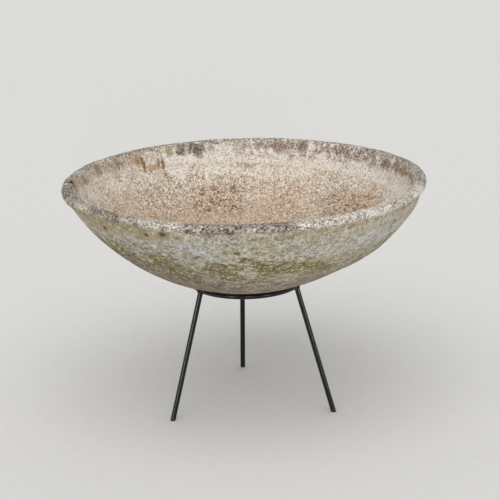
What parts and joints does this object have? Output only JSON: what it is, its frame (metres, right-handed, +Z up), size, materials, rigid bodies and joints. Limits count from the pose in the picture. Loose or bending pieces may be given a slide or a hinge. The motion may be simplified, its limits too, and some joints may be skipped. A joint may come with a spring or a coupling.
{
  "type": "planter on stand",
  "caption": "Shallow round planter bowl with a rolled lip, weathered fibre cement, resting loose in the ring of a welded round-bar tripod stand.",
  "frame": {"origin": "on the floor, on the upright axis of the bowl and the ring", "axes": "+Z up along the bowl's axis, -Y towards the front between the two front legs, +X to the right seen from the front"},
  "size_m": [0.9, 0.8996, 0.5887],
  "materials": {
    "weathered_cement": "matte",
    "black_paint": "satin"
  },
  "bodies": {
    "stand": {"stand_ring": "black_paint", "ring_weld": "black_paint", "leg_front_left": "black_paint", "leg_front_right": "black_paint", "leg_rear": "black_paint", "weld_front_left": "black_paint", "weld_front_right": "black_paint", "weld_rear": "black_paint"},
    "bowl": {"bowl": "weathered_cement"}
  },
  "joints": [
    {"name": "bowl_lift", "type": "slide", "parent": "stand", "child": "bowl", "axis": [0, 0, 1], "range_m": [0, 0.25]}
  ]
}
